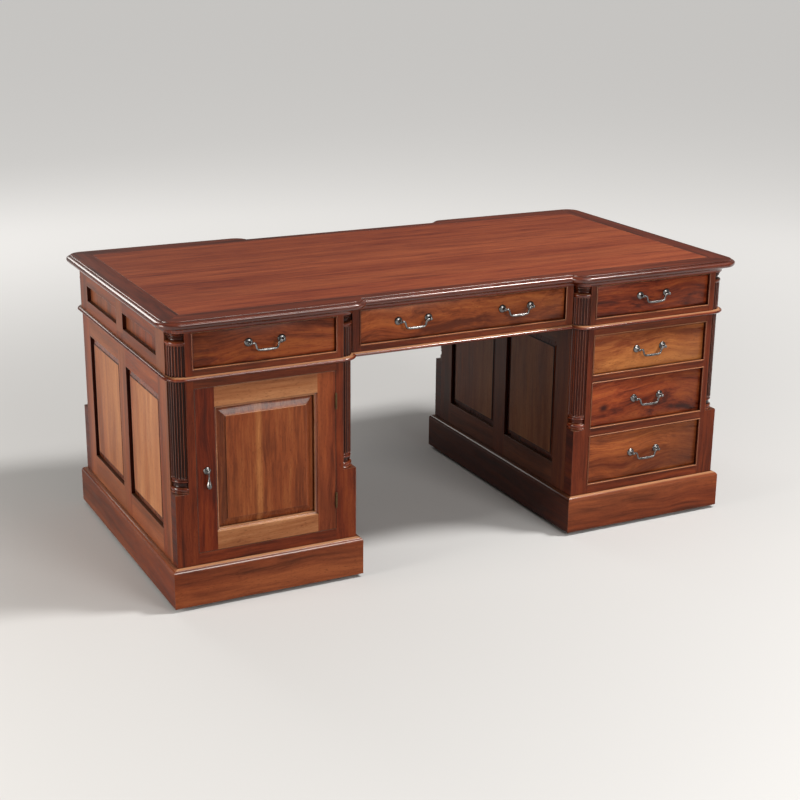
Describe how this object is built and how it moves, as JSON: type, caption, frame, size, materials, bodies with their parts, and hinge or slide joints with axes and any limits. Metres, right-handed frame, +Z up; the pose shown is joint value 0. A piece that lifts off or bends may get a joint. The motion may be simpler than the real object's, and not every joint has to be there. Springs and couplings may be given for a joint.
{
  "type": "executive desk",
  "caption": "Pedestal executive desk in mahogany with a moulded breakfront top, fluted corner columns, a panelled cupboard door and drawers with bail handles.",
  "frame": {"origin": "on the floor, below the middle of the top", "axes": "+X along the desk to the right seen from the front, -Y is the front with the drawers and the door, +Z up"},
  "size_m": [1.8, 0.922, 0.792],
  "materials": {
    "mahogany_frame": "satin lacquered mahogany, dark reddish brown",
    "mahogany_face": "satin lacquered mahogany, warm orange brown",
    "top_field": "satin lacquered mahogany boards, reddish brown",
    "top_border": "satin lacquered mahogany crossbanding, darker red brown",
    "drawer_lining": "plain matt secondary wood",
    "aged_nickel": "dark antiqued nickel",
    "aged_brass": "dull aged brass"
  },
  "bodies": {
    "desk_carcase": {"top_moulded_border": "top_border", "top_field_panel": "top_field", "top_cove_moulding": "mahogany_frame", "waist_moulding": "mahogany_frame", "frieze_front_frame": "mahogany_frame", "frieze_back_frame": "mahogany_frame", "frieze_left_end": "mahogany_frame", "frieze_right_end": "mahogany_frame", "frieze_left_divider": "mahogany_frame", "frieze_right_divider": "mahogany_frame", "left_inner_upper_column": "mahogany_frame", "left_inner_lower_column": "mahogany_frame", "left_inner_side": "mahogany_frame", "left_outer_upper_column": "mahogany_frame", "left_outer_lower_column": "mahogany_frame", "left_outer_side": "mahogany_frame", "left_front_frame": "mahogany_frame", "left_back_panel": "mahogany_frame", "left_plinth": "mahogany_frame", "right_inner_upper_column": "mahogany_frame", "right_inner_lower_column": "mahogany_frame", "right_inner_side": "mahogany_frame", "right_outer_upper_column": "mahogany_frame", "right_outer_lower_column": "mahogany_frame", "right_outer_side": "mahogany_frame", "right_front_frame": "mahogany_frame", "right_back_panel": "mahogany_frame", "right_plinth": "mahogany_frame", "left_dust_board": "drawer_lining", "right_dust_board": "drawer_lining", "left_bottom_board": "drawer_lining", "right_bottom_board": "drawer_lining", "left_shelf": "drawer_lining", "right_lower_web_frame": "drawer_lining", "right_upper_web_frame": "drawer_lining"},
    "left_frieze_drawer": {"left_frieze_drawer_front": "mahogany_face", "left_frieze_drawer_box": "drawer_lining"},
    "centre_frieze_drawer": {"centre_frieze_drawer_front": "mahogany_face", "centre_frieze_drawer_box": "drawer_lining"},
    "right_frieze_drawer": {"right_frieze_drawer_front": "mahogany_face", "right_frieze_drawer_box": "drawer_lining"},
    "lower_pedestal_drawer": {"lower_pedestal_drawer_front": "mahogany_face", "lower_pedestal_drawer_box": "drawer_lining"},
    "middle_pedestal_drawer": {"middle_pedestal_drawer_front": "mahogany_face", "middle_pedestal_drawer_box": "drawer_lining"},
    "upper_pedestal_drawer": {"upper_pedestal_drawer_front": "mahogany_face", "upper_pedestal_drawer_box": "drawer_lining"},
    "cupboard_door": {"door_frame": "mahogany_frame", "door_panel": "mahogany_face", "door_upper_hinge": "aged_brass", "door_lower_hinge": "aged_brass", "door_pull_rose": "aged_nickel"},
    "door_drop_pull": {"door_pull_drop": "aged_nickel"},
    "left_frieze_drawer_bail": {"left_frieze_drawer_bail": "aged_nickel"},
    "centre_frieze_drawer_left_bail": {"centre_frieze_drawer_left_bail": "aged_nickel"},
    "centre_frieze_drawer_right_bail": {"centre_frieze_drawer_right_bail": "aged_nickel"},
    "right_frieze_drawer_bail": {"right_frieze_drawer_bail": "aged_nickel"},
    "lower_pedestal_drawer_bail": {"lower_pedestal_drawer_bail": "aged_nickel"},
    "middle_pedestal_drawer_bail": {"middle_pedestal_drawer_bail": "aged_nickel"},
    "upper_pedestal_drawer_bail": {"upper_pedestal_drawer_bail": "aged_nickel"}
  },
  "joints": [
    {"name": "left_frieze_drawer_slide", "type": "slide", "parent": "desk_carcase", "child": "left_frieze_drawer", "axis": [0, -1, 0], "range_m": [0, 0.45]},
    {"name": "centre_frieze_drawer_slide", "type": "slide", "parent": "desk_carcase", "child": "centre_frieze_drawer", "axis": [0, -1, 0], "range_m": [0, 0.45]},
    {"name": "right_frieze_drawer_slide", "type": "slide", "parent": "desk_carcase", "child": "right_frieze_drawer", "axis": [0, -1, 0], "range_m": [0, 0.45]},
    {"name": "lower_pedestal_drawer_slide", "type": "slide", "parent": "desk_carcase", "child": "lower_pedestal_drawer", "axis": [0, -1, 0], "range_m": [0, 0.45]},
    {"name": "middle_pedestal_drawer_slide", "type": "slide", "parent": "desk_carcase", "child": "middle_pedestal_drawer", "axis": [0, -1, 0], "range_m": [0, 0.45]},
    {"name": "upper_pedestal_drawer_slide", "type": "slide", "parent": "desk_carcase", "child": "upper_pedestal_drawer", "axis": [0, -1, 0], "range_m": [0, 0.45]},
    {"name": "cupboard_door_hinge", "type": "hinge", "parent": "desk_carcase", "child": "cupboard_door", "pos_m": [-0.4111, -0.4306, 0.3785], "axis": [0, 0, 1], "range_deg": [0, 110]},
    {"name": "door_drop_pull_hinge", "type": "hinge", "parent": "cupboard_door", "child": "door_drop_pull", "pos_m": [-0.7781, -0.4425, 0.379], "axis": [-1, 0, 0], "range_deg": [0, 85]},
    {"name": "left_frieze_drawer_bail_hinge", "type": "hinge", "parent": "left_frieze_drawer", "child": "left_frieze_drawer_bail", "pos_m": [-0.60895, -0.4409, 0.71], "axis": [-1, 0, 0], "range_deg": [0, 85]},
    {"name": "centre_frieze_drawer_left_bail_hinge", "type": "hinge", "parent": "centre_frieze_drawer", "child": "centre_frieze_drawer_left_bail", "pos_m": [-0.163, -0.4096, 0.71], "axis": [-1, 0, 0], "range_deg": [0, 85]},
    {"name": "centre_frieze_drawer_right_bail_hinge", "type": "hinge", "parent": "centre_frieze_drawer", "child": "centre_frieze_drawer_right_bail", "pos_m": [0.163, -0.4096, 0.71], "axis": [-1, 0, 0], "range_deg": [0, 85]},
    {"name": "right_frieze_drawer_bail_hinge", "type": "hinge", "parent": "right_frieze_drawer", "child": "right_frieze_drawer_bail", "pos_m": [0.60895, -0.4409, 0.71], "axis": [-1, 0, 0], "range_deg": [0, 85]},
    {"name": "lower_pedestal_drawer_bail_hinge", "type": "hinge", "parent": "lower_pedestal_drawer", "child": "lower_pedestal_drawer_bail", "pos_m": [0.60895, -0.4384, 0.22552], "axis": [-1, 0, 0], "range_deg": [0, 85]},
    {"name": "middle_pedestal_drawer_bail_hinge", "type": "hinge", "parent": "middle_pedestal_drawer", "child": "middle_pedestal_drawer_bail", "pos_m": [0.60895, -0.4384, 0.3958], "axis": [-1, 0, 0], "range_deg": [0, 85]},
    {"name": "upper_pedestal_drawer_bail_hinge", "type": "hinge", "parent": "upper_pedestal_drawer", "child": "upper_pedestal_drawer_bail", "pos_m": [0.60895, -0.4384, 0.54802], "axis": [-1, 0, 0], "range_deg": [0, 85]}
  ]
}
